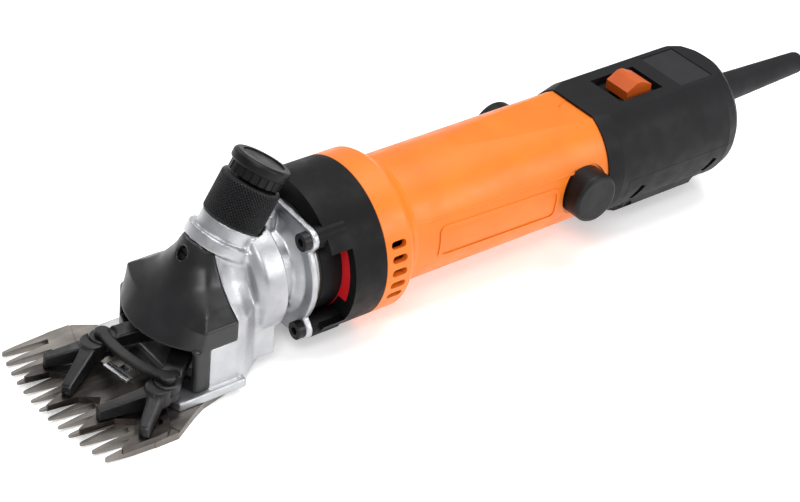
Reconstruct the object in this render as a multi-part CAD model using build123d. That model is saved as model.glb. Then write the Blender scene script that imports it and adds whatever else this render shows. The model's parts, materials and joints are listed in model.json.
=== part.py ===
from build123d import *
import math
import os

# Electric sheep shears. The modelling frame has X along the motor axis, with the comb
# towards -X and the cable sleeve towards +X, and Z up. X is counted from the joint face
# between the gear case and the motor housing. Sizes are in millimetres.

# Motor end: lengths along the motor axis
motor_length = 118.0          # motor housing, joint face to rear housing
rear_length = 76.0            # rear housing
sleeve_length = 60.0          # cable sleeve outside the rear housing
flare_length = 13.0           # full-width ring at the front of the motor housing
shoulder_length = 5.0         # slope from the ring down to the motor body
case_length = 24.0            # gear case, joint face to head flange
case_ring_length = 14.7       # full-width ring of the gear case
flange_thickness = 5.5        # flange of the head casting
gasket_thickness = 0.5        # gasket between head and gear case

# Motor end: radii and walls
case_radius = 32.4
body_radius = 26.0
rear_radius = 28.2
wall = 2.8
rear_wall = 2.6
rest_drop = 0.6               # the rest faces lie this far below the gear case

# Fits
running_fit = 0.05            # radial clearance of a shaft in its bore
slide_gap = 0.3               # clearance between sliding or loose parts
lap_gap = 0.05                # oil film between comb and cutter

# Gear pair and crank
gear_module = 0.7
pinion_teeth = 8
gear_teeth = 32
pressure_angle = 25.0
addendum_share = 0.72
dedendum_share = 1.2
tooth_thinning = 0.14         # taken off each tooth face for backlash
pinion_front = 17.5           # front end of the pinion, forward of the joint face
gear_front = 16.0
gear_width = 8.0
swing_half = 9.0              # fork swing to each side, in degrees
fork_tail = 20.0              # fork pivot to crank roller
pivot_x = -56.0
roller_radius = 4.0
roller_width = 6.0
roller_play = 0.95            # each side of the roller in the fork's slot
crank_shaft_radius = 3.0
crank_pin_radius = 2.0

# Comb and cutter
comb_tip_x = -131.5
comb_thickness = 3.0
comb_teeth = 13
comb_pitch = 6.0
comb_arc = 120.0              # radius of the arc through the tooth tips
comb_tooth_length = 18.0
comb_root_width = 3.7
comb_tip_width = 1.3
comb_half_width = 38.0
comb_screw_x = -70.0
comb_screw_y = 11.0
comb_screw_radius = 2.0
comb_screw_head = 3.8
comb_screw_sink = 1.8          # depth of the pocket for the screw's head
comb_screw_depth = 7.0         # thread length above the comb seat
cutter_thickness = 2.6
cutter_reach = 74.0           # fork pivot to the cutter's tooth tips
cutter_spacing = 18.0         # between cutter teeth
cutter_hole_x = -105.5
cutter_hole_y = 24.0

# Head casting and nose cover
seat_thickness = 3.5
head_half_width = 26.3
head_front_x = -75.3          # front of the casting's side walls
cover_joint_x = -63.5         # rear edge of the nose cover
cover_wall = 2.4
barrel_radius = 24.5
flange_radius = 23.2
flange_rim_radius = 26.0      # thin rim plate around the front of the flange
ear_radius = 4.4
head_screw_radius = 2.0

# Tension knob
knob_lean = 31.0              # degrees, leaning back from vertical
knob_x = -50.4                # centre of the knurled sleeve's lower end
knob_z = 24.6
sleeve_radius = 12.0
sleeve_height = 17.0
cap_radius = 11.7
cap_height = 8.2
cap_rim = 4.4                 # thick upper part of the cap
cap_neck = 1.2                 # step in from the rim to the gripped part
cap_gap = 1.0
stem_radius = 5.5
stub_radius = 7.5             # the sleeve's threaded end in the casting
stub_length = 12.0
tension_pin_radius = 3.2

# Fork and feet
fork_low = 8.5                # underside of the fork above the cutter
fork_height = 9.0
hub_reach = 39.5              # fork pivot to the sockets of the feet
knuckle_ahead = 4.4           # the knuckle of a foot, in front of its socket
finger_reach = 64.5           # fork pivot to the finger ends

# Switch, label and cable
switch_width = 12.6
switch_length = 13.6
switch_room = 3.6             # recess beyond the slider at its sides and rear
switch_travel = 5.0
sleeve_base_radius = 6.9
sleeve_end_radius = 4.6
cable_radius = 3.3
cable_z = 4.0
flat_top_z = 24.0             # flat top of the rear housing
body_flat_z = 22.8            # flat top at the rear of the motor housing
body_flat_start = 50.0        # where that flat fades out

# Smaller sizes of the head, fork and feet
finger_pin_radius = 1.3
hub_radius = 5.0
hub_stem = 2.8
arm_width = 8.0
fork_cheek = 2.4
post_radius = 3.6
yoke_half = 2.2
seat_arc = 82.0               # radius of the comb seat's front edge
seat_front_x = -94.5
skirt_joint_z = -8.8          # the nose cover's sides end here, the casting goes on below
skirt_wall = 3.6
seat_notch = 13.0              # half width of the gap in the comb seat's front
sill_top = -21.7               # top of the nose cover's low front walls
cavity_back = -31.5
crank_head_radius = 7.0
crank_end_radius = 2.5
crank_bearing_radius = 8.0
bearing_width = 5.0
bearing_plate_width = 5.0
liner_radius = 24.0
liner_wall = 1.4
relief_low = -17.5
relief_high = 16.0
red_slot_radius = 28.4         # outer radius of the slots that show the red liner
red_slot_low = -9.5
red_slot_high = 15.0
cover_screw_x = -72.0
cover_screw_z = 17.6
cover_screw_radius = 1.6
cover_screw_head = 2.4
cover_screw_length = 9.5
oil_boss_radius = 5.2
oil_boss_top = 24.0
ear_thickness = 2.8
cap_grips = 20
spring_wire = 0.55
pin_lift = 0.3                # tension pin above the fork's pad
nut_stem_low = 4.0            # lower end of the nut's stem above the sleeve's base

# Smaller sizes of the motor and rear housing
shaft_radius = 3.0
motor_bearing_radius = 7.5
core_start = 32.0
core_length = 46.0
stator_bore = 14.6
armature_radius = 14.0
commutator_radius = 9.5
fan_blades = 16
vent_count = 5
vent_step = 10.5
vent_width = 3.2
vent_length = 7.0
brush_cap_radius = 10.6
brush_cap_edge = 1.8
brush_cap_face = 33.6
brush_bore = 6.0
flat_wall = 2.4                # wall left under the flat top
rear_web = 7.0
cover_split = -2.0
foot_length = 44.0
switch_well = 3.6
label_half = 12.5
label_depth = 0.7
sleeve_neck = 6.4
clamp_screw_y = 6.3
cover_screw_y = 19.0
cover_screw_seat = -16.0       # height of the seats of the lower cover screws

# Derived places
rest_z = -(case_radius + rest_drop)
seat_z = rest_z + comb_thickness
cutter_z = seat_z + lap_gap
cutter_top = cutter_z + cutter_thickness
seat_top = seat_z + seat_thickness
crank_z = -gear_module * (pinion_teeth + gear_teeth) / 2
throw = fork_tail * math.sin(math.radians(swing_half))
fork_z = cutter_top + fork_low
fork_top = fork_z + fork_height
case_front = -case_length
flange_back = case_front - gasket_thickness
flange_front = flange_back - flange_thickness
bolt_circle = case_radius - ear_radius + 0.6
bolt_offset = bolt_circle / math.sqrt(2)
rear_end = motor_length + rear_length
sleeve_end = rear_end + sleeve_length
brush_x = motor_length - 12.5
roller_x = pivot_x + fork_tail
pad_top = fork_top + 1.5
post_top = fork_top - 1.5
foot_low = cutter_top + 3.0
hub_z = cutter_top + 6.4
hub_top = hub_z + 3.8
knuckle_top = hub_top - 0.2
brush_floor = commutator_radius + 12.0
commutator_x = brush_x - 9.0
rear_bearing_x = motor_length + 1.5
cover_start = motor_length + 11.0
vent_front_x = cover_start + 8.0
vent_rear_x = rear_end - 16.0
switch_centre_x = motor_length + 31.0
switch_body_top = 17.0
label_span = (motor_length + 49.0, rear_end - 9.0)
base = (Align.CENTER, Align.CENTER, Align.MIN)
to_rest_origin = Pos(-(comb_tip_x + sleeve_end) / 2, 0, -rest_z)
bolt_corners = [(sy * bolt_offset, sz * bolt_offset) for sy in (-1, 1) for sz in (-1, 1)]


def block(x, y, z):
    """A box between the low and high value given for each axis."""
    spans = [high - low for low, high in (x, y, z)]
    middle = [(high + low) / 2 for low, high in (x, y, z)]
    return Pos(*middle) * Box(*spans)


def rod(radius, x0, x1, y=0.0, z=0.0):
    """A round bar along X."""
    return Pos(x0, y, z) * Rot(0, 90, 0) * Cylinder(radius, x1 - x0, align=base)


def tube(outer, inner, x0, x1, y=0.0, z=0.0):
    return rod(outer, x0, x1, y, z) - rod(inner, x0, x1, y, z)


def post(radius, low, high, x=0.0, y=0.0):
    """A round bar along Z."""
    return Pos(x, y, low) * Cylinder(radius, high - low, align=base)


def side_rod(radius, y0, y1, x, z):
    """A round bar along Y."""
    return Pos(x, y0, z) * Rot(-90, 0, 0) * Cylinder(radius, y1 - y0, align=base)


def turned(profile):
    """A solid of revolution about the motor axis, from (x, radius) points."""
    return revolve(Plane.XZ * make_face(Polyline(*profile, close=True)), Axis.X)


def plate(outline, low, high):
    """A flat plate with the given XY outline."""
    face = make_face(Polyline(*outline, close=True))
    return Pos(0, 0, low) * extrude(face, high - low)


def slab(outline, half_width):
    """A plate of the given XZ outline, centred on the Y = 0 plane."""
    face = Plane.XZ * make_face(Polyline(*outline, close=True))
    return extrude(face, half_width, both=True)


def both_sides(shape):
    return shape + mirror(shape, Plane.XZ)


def swung(shape):
    """Turns a part of the fork from mid-swing to its place at rest."""
    return shape.rotate(Axis((pivot_x, 0, 0), (0, 0, 1)), swing_half)


def on_knob(shape):
    """Places a shape made about Z on the leaning knob axis."""
    return Pos(knob_x, 0, knob_z) * Rot(0, knob_lean, 0) * shape


def involute_face(teeth):
    """Outline of a spur gear with stub involute teeth, the first tooth on +X."""
    pitch = gear_module * teeth / 2
    base_radius = pitch * math.cos(math.radians(pressure_angle))
    tip = pitch + addendum_share * gear_module
    root = pitch - dedendum_share * gear_module
    half_tooth = math.pi / (2 * teeth) - tooth_thinning / pitch
    pitch_roll = math.tan(math.radians(pressure_angle)) - math.radians(pressure_angle)
    steps = 5
    start = max(base_radius, root)
    flank = []
    for i in range(steps + 1):
        radius = start + (tip - start) * i / steps
        angle = math.acos(min(1.0, base_radius / radius))
        flank.append((radius, half_tooth + pitch_roll - (math.tan(angle) - angle)))
    points = []
    for tooth in range(teeth):
        middle = 2 * math.pi * tooth / teeth
        half_gap = math.pi / teeth
        points.append((root, middle - half_gap))
        if start > root:
            points.append((root, middle - flank[0][1]))
        points += [(r, middle - a) for r, a in flank]
        points += [(r, middle + a) for r, a in reversed(flank)]
        if start > root:
            points.append((root, middle + flank[0][1]))
    corners = [(r * math.cos(a), r * math.sin(a)) for r, a in points]
    return make_face(Polyline(*corners, close=True))


# ---------------------------------------------------------------- comb and cutter


def arc_x(radius, y):
    """X of the arc of the given radius about the centre of the comb's tip arc."""
    return comb_tip_x + comb_arc - math.sqrt(radius ** 2 - y ** 2)


def comb():
    edge = [(-62.0, 24.0), (-79.0, 28.4), (-85.3, 31.6), (-96.0, comb_half_width)]
    edge.append((arc_x(comb_arc - comb_tooth_length, comb_half_width), comb_half_width))
    count = 12
    front = []
    for i in range(count + 1):
        y = comb_half_width * (1 - 2 * i / count)
        front.append((arc_x(comb_arc - comb_tooth_length, y), y))
    outline = edge + front[1:-1] + [(x, -y) for x, y in reversed(edge)]
    shape = plate(outline, rest_z, seat_z)
    root_depth = 1.5
    for i in range(comb_teeth):
        y = comb_pitch * (i - (comb_teeth - 1) / 2)
        tip = arc_x(comb_arc, y)
        root = arc_x(comb_arc - comb_tooth_length - root_depth, y)
        tooth = [(root, y - comb_root_width / 2), (root, y + comb_root_width / 2)]
        tooth += [(tip + 1.0, y + comb_tip_width / 2), (tip, y + comb_tip_width / 4)]
        tooth += [(tip, y - comb_tip_width / 4), (tip + 1.0, y - comb_tip_width / 2)]
        shape += plate(tooth, rest_z, seat_z)
    shape -= comb_tip_relief()
    groove = post(comb_arc - 27.2, seat_z - 0.3, seat_z, comb_tip_x + comb_arc)
    groove -= post(comb_arc - 28.2, seat_z - 0.3, seat_z, comb_tip_x + comb_arc)
    shape -= groove & block((comb_tip_x, -90), (-45, 45), (seat_z - 0.3, seat_z))
    for y in (-comb_screw_y, comb_screw_y):
        slot = comb_screw_radius + 0.2
        pocket = comb_screw_head + 0.2
        shape -= block((comb_screw_x, -50), (y - slot, y + slot), (rest_z, seat_z))
        shape -= post(slot, rest_z, seat_z, comb_screw_x, y)
        shape -= post(pocket, rest_z, rest_z + comb_screw_sink, comb_screw_x, y)
    return shape


def comb_tip_relief():
    """Slopes that thin the teeth towards their tips, above and below."""
    front = comb_tip_x - 1
    under = [(front, rest_z - 1), (front, rest_z + 1.7), (front + 17, rest_z)]
    under.append((front + 17, rest_z - 1))
    over = [(front, seat_z + 1), (front, seat_z - 0.7), (front + 12, seat_z)]
    over.append((front + 12, seat_z + 1))
    return slab(under, 45.0) + slab(over, 45.0)


def comb_screws():
    """Two screws with sunk heads that clamp the comb up against its seat."""
    shape = None
    for y in (-comb_screw_y, comb_screw_y):
        shank_low = rest_z + comb_screw_sink
        head = post(comb_screw_head, rest_z + 0.2, shank_low, comb_screw_x, y)
        head -= block((-90, -50), (y - 0.5, y + 0.5), (rest_z, rest_z + 1.0))
        screw = head + post(comb_screw_radius, shank_low, seat_z + comb_screw_depth, comb_screw_x, y)
        shape = screw if shape is None else shape + screw
    return shape


def cutter():
    """Four pointed teeth on a bar."""
    half = [(-97.6, 19.0), (-100.8, 25.4), (-103.5, 28.8), (-106.5, 30.4)]
    flanks = ((1.5, (-111.0, 30.2), -110.0), (0.5, (-116.0, 12.6), -111.5))
    for lateral, before, notch_x in flanks:
        y = lateral * cutter_spacing
        tip = pivot_x - math.sqrt(cutter_reach ** 2 - y ** 2)
        half += [before, (tip, y + 0.35), (tip, y - 0.35)]
        half += [(notch_x - 6.0, y - 3.6), (notch_x, y - cutter_spacing / 2)]
    outline = half + [(x, -y) for x, y in reversed(half[:-1])]
    shape = plate(outline, cutter_z, cutter_top)
    for y in (-cutter_hole_y, cutter_hole_y):
        shape -= post(2.0, cutter_z, cutter_top, cutter_hole_x, y)
    for x, y in finger_ends():
        shape -= post(finger_pin_radius + running_fit, cutter_z, cutter_top, x, y)
    return swung(shape)


# ---------------------------------------------------------------- fork and feet


def finger_ends():
    """Centres of the four finger ends at mid-swing."""
    ends = []
    for lateral in (-1.5, -0.5, 0.5, 1.5):
        y = lateral * cutter_spacing
        ends.append((pivot_x - math.sqrt(finger_reach ** 2 - y ** 2), y))
    return ends


def hub_centre(side):
    return pivot_x - hub_reach, side * cutter_spacing


def finger(start, end):
    """A tapered bar from a foot's knuckle down to the cutter, with its locating pin."""
    (x0, y0), (x1, y1) = start, end
    length = math.hypot(x1 - x0, y1 - y0)
    turn = math.degrees(math.atan2(y1 - y0, x1 - x0))
    root_depth, tip_depth = knuckle_top - foot_low, 4.6
    root = Pos(0, 0, foot_low + root_depth / 2) * Rot(0, 90, 0) * Rectangle(root_depth, 6.0)
    tip = Pos(length + 1.0, 0, cutter_top + tip_depth / 2 + 0.1) * Rot(0, 90, 0)
    bar = Pos(x0, y0, 0) * Rot(0, 0, turn) * loft([root, tip * Rectangle(tip_depth, 4.0)], ruled=True)
    pin = post(finger_pin_radius, cutter_z + 0.8, cutter_top + 1.5, x1, y1)
    return bar + pin


def chicken_foot(side):
    """A two-fingered foot that presses two cutter teeth down on the comb."""
    socket = hub_centre(side)
    knuckle = (socket[0] - knuckle_ahead, socket[1])
    shape = post(hub_radius, foot_low, knuckle_top, *knuckle)
    for end in finger_ends():
        if end[1] * side > 0:
            shape += finger(knuckle, end)
    shape -= post(hub_radius + slide_gap / 2, hub_z - slide_gap / 2, 0, *socket)
    shape += post(hub_radius - 0.4, foot_low, hub_z - slide_gap / 2, *socket)
    shape += post(hub_stem, foot_low, hub_top - 1.4, *socket)
    return swung(shape)


def fork():
    """Rocking fork: slotted tail on the crank roller, two arms down to the feet."""
    tail_x = roller_x - roller_width / 2 - 1.0
    shape = block((pivot_x - 15.0, tail_x), (-5.0, 5.0), (fork_z, fork_top))
    for side in (-1, 1):
        hub = hub_centre(side)
        shape += fork_arm(hub)
        shape += post(hub_radius, hub_z, hub_top, *hub)
    shape += post(post_radius + 3.4, fork_z, fork_top, pivot_x)
    shape += post(5.0, fork_z, pad_top, *pad_centre())
    shape += fork_cheeks(tail_x)
    for side in (-1, 1):
        shape -= post(hub_stem + running_fit, hub_z, hub_top - 1.2, *hub_centre(side))
        shape -= post(hub_radius + slide_gap, hub_top, fork_top, *hub_centre(side))
    shape -= post(post_radius + running_fit, fork_z, post_top + slide_gap, pivot_x)
    return swung(shape)


def fork_arm(hub):
    """Sloping arm from the fork's beam to the socket of one foot."""
    root_x, root_y = pivot_x - 12.0, hub[1] * 0.12
    length = math.hypot(hub[0] - root_x, hub[1] - root_y)
    turn = math.degrees(math.atan2(hub[1] - root_y, hub[0] - root_x))
    root = Pos(0, 0, (fork_z + fork_top) / 2) * Rot(0, 90, 0) * Rectangle(fork_height, arm_width)
    end = Pos(length, 0, (hub_z + hub_top) / 2) * Rot(0, 90, 0)
    bar = loft([root, end * Rectangle(hub_top - hub_z, arm_width)], ruled=True)
    return Pos(root_x, root_y, 0) * Rot(0, 0, turn) * bar


def fork_cheeks(front):
    """Two cheeks behind the fork's tail that hold the crank roller between them."""
    slot = roller_radius + roller_play
    reach = throw + roller_radius
    back = roller_x + roller_width / 2 - 0.6
    size = (crank_z - reach, crank_z + reach)
    outside = block((front - 3.0, back), (-slot - fork_cheek, slot + fork_cheek), size)
    return outside - block((front, back), (-slot, slot), size)


def pin_tip():
    """Distance down the knob axis to the centre of the tension pin's ball end."""
    height = pad_top + pin_lift + tension_pin_radius
    return (height - knob_z) / math.cos(math.radians(knob_lean))


def pad_centre():
    """Centre of the wear pad under the tension pin's ball end."""
    return knob_x + pin_tip() * math.sin(math.radians(knob_lean)), 0.0


def foot_yoke():
    """Bowed strip across the two sockets that keeps the feet up in the fork."""
    (x, low_y), (_, high_y) = hub_centre(-1), hub_centre(1)
    bow = 3.0
    shape = None
    for reach in (-yoke_half, yoke_half):
        line = ThreePointArc((x + reach, low_y), (x + reach - bow, 0), (x + reach, high_y))
        shape = line if shape is None else [shape, line]
    sides = [Line((x - yoke_half, y), (x + yoke_half, y)) for y in (low_y, high_y)]
    strip = extrude(make_face(shape + sides), 2.4)
    for y in (low_y, high_y):
        strip += post(yoke_half + 0.8, 0, 2.4, x, y)
    return swung(Pos(0, 0, hub_top) * strip)


def yoke_clip():
    """Bright spring clip hanging in front of the yoke: two strips side by side and a bent tab."""
    x, low = hub_centre(1)[0] - 9.5, hub_top - 3.2
    thick, half_length = 0.8, 6.5
    strips = block((x, x + 3.4), (-half_length, half_length), (low, low + thick))
    strips -= block((x + 1.2, x + 2.2), (-half_length + 1.2, half_length + 1), (low, low + thick))
    tab = block((x + 2.2, x + 7.0), (-1.6, 1.6), (low, low + thick))
    return swung(strips + tab + block((x + 6.2, x + 7.0), (-1.6, 1.6), (low, hub_top)))


def centre_post():
    """Fixed post that the fork rocks on, pressed into the comb seat."""
    shape = post(post_radius, seat_z + 0.5, post_top, pivot_x)
    return shape + post(post_radius + 2.2, seat_top, fork_z - slide_gap, pivot_x)


# ---------------------------------------------------------------- head


def section(x, points):
    """Closed YZ outline at x, made from its corners with positive Y."""
    whole = points + [(-y, z) for y, z in reversed(points)]
    return make_face(Polyline(*[(x, y, z) for y, z in whole], close=True))


def head_block():
    """Front part of the casting, from the cover joint back to the barrel."""
    wide = head_half_width
    low = [(wide, seat_z), (wide, skirt_joint_z)]
    front = section(cover_joint_x, low + [(rear, z) for z, rear, *_ in cover_levels()[1:]])
    flank = [(20.6, 3.5), (15.8, 9.0), (12.6, 15.5), (10.0, 22.0)]
    middle = section(-59.0, [(wide - 1.0, seat_z), (wide - 1.0, -9.0), (wide - 1.0, -0.5)] + flank)
    inner = [(17.0, 2.0), (15.0, 7.0), (12.8, 12.5), (10.0, 19.0)]
    back = section(-48.0, [(18.0, seat_z + 1.0), (18.0, -9.0), (18.0, -2.0)] + inner)
    return loft([front, middle], ruled=True) + loft([middle, back], ruled=True)


def head_outside():
    shape = head_block()
    sides = (-head_half_width, head_half_width)
    shape += block((head_front_x, cover_joint_x), sides, (seat_z, skirt_joint_z))
    seat = post(seat_arc, seat_z, seat_top, seat_front_x + seat_arc)
    seat -= block((-100, -82.0), (-seat_notch, seat_notch), (seat_z, seat_top))
    shape += seat & block((-100, -60), (-28.5, 28.5), (seat_z, seat_top))
    barrel = [(-52.0, 0), (-52.0, 21.0), (-49.0, barrel_radius), (-40.0, barrel_radius)]
    neck = [(-37.5, 18.0), (flange_front - 3.0, 18.0), (flange_front, 21.4)]
    rim_back = flange_front + ear_thickness
    rim = [(flange_front, flange_rim_radius), (rim_back, flange_rim_radius)]
    plug = [(rim_back, flange_radius), (flange_back, flange_radius), (flange_back, 0)]
    shape += turned(barrel + neck + rim + plug)
    shape += both_sides(block((-53.0, -42.0), (8.0, 20.5), (seat_z + 3.5, -12.0)))
    for y, z in bolt_corners:
        ear_back = flange_front + ear_thickness
        shape += rod(ear_radius, flange_front, ear_back, y, z)
        shape += flange_web(y, z)
    shape += slab([(-54, 12), (-56, 20), (-46, 26), (-41, 24), (-40, 12)], 8.0)
    shape += post(oil_boss_radius, 8.0, oil_boss_top, -36.2)
    shape += on_knob(post(sleeve_radius - 0.6, -14.0, 0.0))
    shape += on_knob(Pos(0, 0, -8.5) * Cylinder(sleeve_radius + 1.9, 5.0))
    return shape + cover_axis() * Pos(0, 0, -14.0) * Cylinder(cover_screw_head + 0.6, 8.8, align=base)


def flange_web(y, z):
    """Web from the flange to one ear: tangent on the outer side, narrow towards the motor's sides."""
    lean = math.acos((flange_rim_radius - ear_radius) / bolt_circle)
    outer = 1 if y * z > 0 else -1
    rim = (flange_rim_radius * math.cos(lean), outer * flange_rim_radius * math.sin(lean))
    ear = (bolt_circle + ear_radius * math.cos(lean), outer * ear_radius * math.sin(lean))
    inner = -outer * ear_radius
    outline = [(0, 0), rim, ear, (bolt_circle, inner), (flange_radius - 5.0, inner)]
    web = plate(outline, 0, ear_thickness)
    angle = math.degrees(math.atan2(z, y))
    return Pos(flange_front, 0, 0) * Rot(angle, 0, 0) * (Plane.YZ * web)


def head_cavity():
    """Room for the fork, the centre post and the crank."""
    low, high = seat_top, pad_top + 2.5
    shape = block((-100, -58.0), (-23.8, 23.8), (low, skirt_joint_z + 5.0))
    shape += block((-60.0, cavity_back), (-15.0, 15.0), (low, high))
    shape += block((-100, -58.0), (-12.0, 12.0), (low, high))
    return shape


def head_casting():
    shape = head_outside() - head_cavity()
    shape -= rod(crank_head_radius + 1.5, cavity_back - 1, flange_back, 0, crank_z)
    shape -= on_knob(post(stub_radius, -stub_length, 1.0))
    shape -= on_knob(post(sleeve_radius + slide_gap, 0, 45.0))
    shape -= on_knob(post(tension_pin_radius + running_fit, -45.0, -stub_length + 1.0))
    shape -= post(post_radius, seat_z + 0.5, seat_top, pivot_x)
    for y in (-comb_screw_y, comb_screw_y):
        shape += post(4.2, seat_top - 0.5, seat_z + comb_screw_depth + 1.5, comb_screw_x, y)
        shape -= post(comb_screw_radius, seat_z, seat_z + comb_screw_depth, comb_screw_x, y)
    for y, z in bolt_corners:
        shape -= rod(head_screw_radius + 0.2, flange_front, flange_back, y, z)
    return shape - cover_screw_hole()


def cover_ring(z, back, corner, middle):
    """Plan outline of the nose cover at one height."""
    far_corner, far_back = (corner[0], -corner[1]), (back[0], -back[1])
    front = ThreePointArc((*corner, z), (*middle, z), (*far_corner, z))
    rest = Polyline((*far_corner, z), (*far_back, z), (*back, z), (*corner, z))
    return make_face([front, rest])


def cover_levels():
    """Height, rear half width, corner and centre line of the nose cover, from its lip up."""
    wide = head_half_width
    return [(skirt_joint_z, wide, -79.2, wide, -91.4), (-0.5, wide, -78.0, wide, -84.4),
            (3.5, 20.4, -74.2, 20.8, -81.4), (9.0, 15.0, -69.8, 14.6, -77.6),
            (15.5, 11.0, -67.2, 9.8, -73.2), (22.5, 7.6, -66.3, 6.4, -69.2)]


def cover_body(inset):
    """Nose cover as a solid, its faces moved inwards by the inset."""
    back = cover_joint_x + (1.0 if inset else 0.0)
    rings = []
    for z, rear, corner_x, corner_y, centre_x in cover_levels():
        rear_corner = (back, rear - inset)
        corner = (corner_x + inset, corner_y - inset)
        rings.append(cover_ring(z - inset, rear_corner, corner, (centre_x + inset, 0)))
    shape = None
    for low, high in zip(rings, rings[1:]):
        level = loft([low, high], ruled=True)
        shape = level if shape is None else shape + level
    return shape


def nose_cover():
    """Plastic nose cover with a skirt at each side and the fork's mouth between them."""
    shape = cover_body(0.0) - cover_body(cover_wall)
    skirt_low = seat_top + slide_gap / 3
    wide = head_half_width
    inner = wide - skirt_wall
    side = [(head_front_x, wide), (-80.6, wide), (-81.8, wide - 1.2), (-82.0, wide - 2.4)]
    side += [(-79.4, inner), (head_front_x, inner)]
    sill = [(-81.8, wide - 1.2), (-85.4, 16.0), (-85.6, seat_notch), (-83.4, seat_notch)]
    sill += [(-83.2, 16.0), (-79.4, inner)]
    shape += both_sides(plate(side, skirt_low, skirt_joint_z + 0.4))
    shape += both_sides(plate(sill, skirt_low, sill_top))
    boss = cover_axis() * Pos(0, 0, -5.0) * Cylinder(cover_screw_head + 1.4, 6.0, align=base)
    shape += boss & cover_body(0.0)
    hole = cover_axis() * Cylinder(cover_screw_radius + 0.2, 20.0)
    sink = cover_axis() * Pos(0, 0, -3.6) * Cylinder(cover_screw_head + 0.3, 12.0, align=base)
    return shape - hole - sink - (head_outside() & block((-100, 0), (-60, 60), (-60, 60)))


def cover_axis():
    """Frame on the nose cover's centre facet, its Z along the cover screw and outwards."""
    return Pos(cover_screw_x, 0, cover_screw_z) * Rot(0, -56.0, 0)


def cover_screw_hole():
    return cover_axis() * Pos(0, 0, -cover_screw_length) * Cylinder(
        cover_screw_radius, cover_screw_length, align=base)


def nose_cover_screw():
    head = cover_axis() * Pos(0, 0, -3.6) * Cylinder(cover_screw_head, 1.8, align=base)
    length = cover_screw_length - 3.6
    shank = cover_axis() * Pos(0, 0, -cover_screw_length) * Cylinder(
        cover_screw_radius, length, align=base)
    slot = cover_axis() * Pos(0, 0, -1.8) * Box(0.9, 12.0, 1.4)
    return head + shank - slot


def tension_sleeve():
    """Grip sleeve screwed into the head, bored for the tension nut's stem."""
    grip = post(sleeve_radius, 0.0, sleeve_height)
    grip = chamfer(grip.edges(), 0.6)
    shape = grip + post(stub_radius, -stub_length, 0.0)
    return on_knob(shape - post(stem_radius + running_fit, -stub_length, sleeve_height))


def tension_nut():
    """Finger nut: a thick rim with a dished top over a narrower gripped part."""
    low = sleeve_height + cap_gap
    top = low + cap_height
    rim = post(cap_radius, top - cap_rim, top)
    rim = fillet(rim.edges().group_by(Axis.Z)[-1], 1.7)
    rim = fillet(rim.edges().group_by(Axis.Z)[0], 1.2)
    rim -= post(cap_radius - 3.2, top - 0.5, top + 1)
    grip_radius = cap_radius - cap_neck
    shape = rim + post(grip_radius, low, top - cap_rim + 0.6)
    for i in range(cap_grips):
        notch = post(0.8, low - 1, top - cap_rim - 0.2, grip_radius + 0.3)
        shape -= Rot(0, 0, 360 * i / cap_grips) * notch
    shape += post(stem_radius, nut_stem_low, low)
    return on_knob(shape - post(tension_pin_radius + running_fit, nut_stem_low, nut_stem_low + 9.0))


def tension_pin():
    """Pin that carries the nut's force down to the fork."""
    shape = post(tension_pin_radius, pin_tip(), nut_stem_low + 7.0)
    shape += Pos(0, 0, pin_tip()) * Sphere(tension_pin_radius)
    return on_knob(shape + post(stem_radius - 0.6, -6.0, -3.5))


def tension_spring():
    """Spring between the nut's stem and the collar of the tension pin."""
    height = nut_stem_low + 3.5 - 2 * spring_wire
    path = Helix(2.4, height, tension_pin_radius + spring_wire + slide_gap)
    ring = Plane(path @ 0, z_dir=path % 0) * Circle(spring_wire)
    return on_knob(Pos(0, 0, -3.5 + spring_wire) * sweep(ring, path, is_frenet=True))


def head_screws():
    """Four screws through the flange ears into the gear case."""
    shape = None
    for y, z in bolt_corners:
        head = rod(3.6, flange_front - 3.0, flange_front, y, z)
        head -= rod(1.6, flange_front - 3.0, flange_front - 1.2, y, z)
        screw = head + rod(head_screw_radius, flange_front, case_front + 12.0, y, z)
        shape = screw if shape is None else shape + screw
    return shape


def gasket():
    shape = rod(flange_radius, flange_back, case_front)
    for y, z in bolt_corners:
        shape -= rod(head_screw_radius + 0.6, flange_back, case_front, y, z)
    return shape - rod(crank_head_radius + 1.5, flange_back, case_front, 0, crank_z)


# ---------------------------------------------------------------- gear case


def gear_pocket(radius, x0, x1, extra=0.0):
    """Round space on the motor axis joined to one around the drive gear."""
    pocket = gear_module * gear_teeth / 2 + gear_module + 0.8 + extra
    return rod(radius, x0, x1) + rod(pocket, x0, x1, 0, crank_z)


def gear_case():
    """Black gear case with relieved sides and a slot for the liner's rib beside each relief."""
    shape = rod(case_radius, case_front, 0)
    floor_radius = liner_radius - 0.4
    relief = tube(case_radius + 1, floor_radius, case_front, -case_ring_length)
    sides = block((case_front, 0), (0, 60), (relief_low, relief_high))
    shape -= both_sides(relief & sides)
    slot = tube(red_slot_radius + slide_gap / 3, liner_radius - 1.0, -case_ring_length, 0)
    shape -= both_sides(slot & block((case_front, 0), (0, 60), (red_slot_low, red_slot_high)))
    for y, z in bolt_corners:
        shape += rod(ear_radius, flange_front + ear_thickness, -case_ring_length, y, z)
    front_wall = case_front + bearing_width
    liner_front = -case_ring_length
    shape -= gear_pocket(liner_radius - liner_wall, front_wall, liner_front)
    shape -= gear_pocket(liner_radius + slide_gap / 3, liner_front, 0, liner_wall + slide_gap / 3)
    shape -= rod(crank_bearing_radius, case_front, front_wall, 0, crank_z)
    for y, z in bolt_corners:
        shape -= rod(head_screw_radius, flange_front, case_front + 12.0, y, z)
    return shape - rod(case_radius - wall, -3.0, 0)


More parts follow.
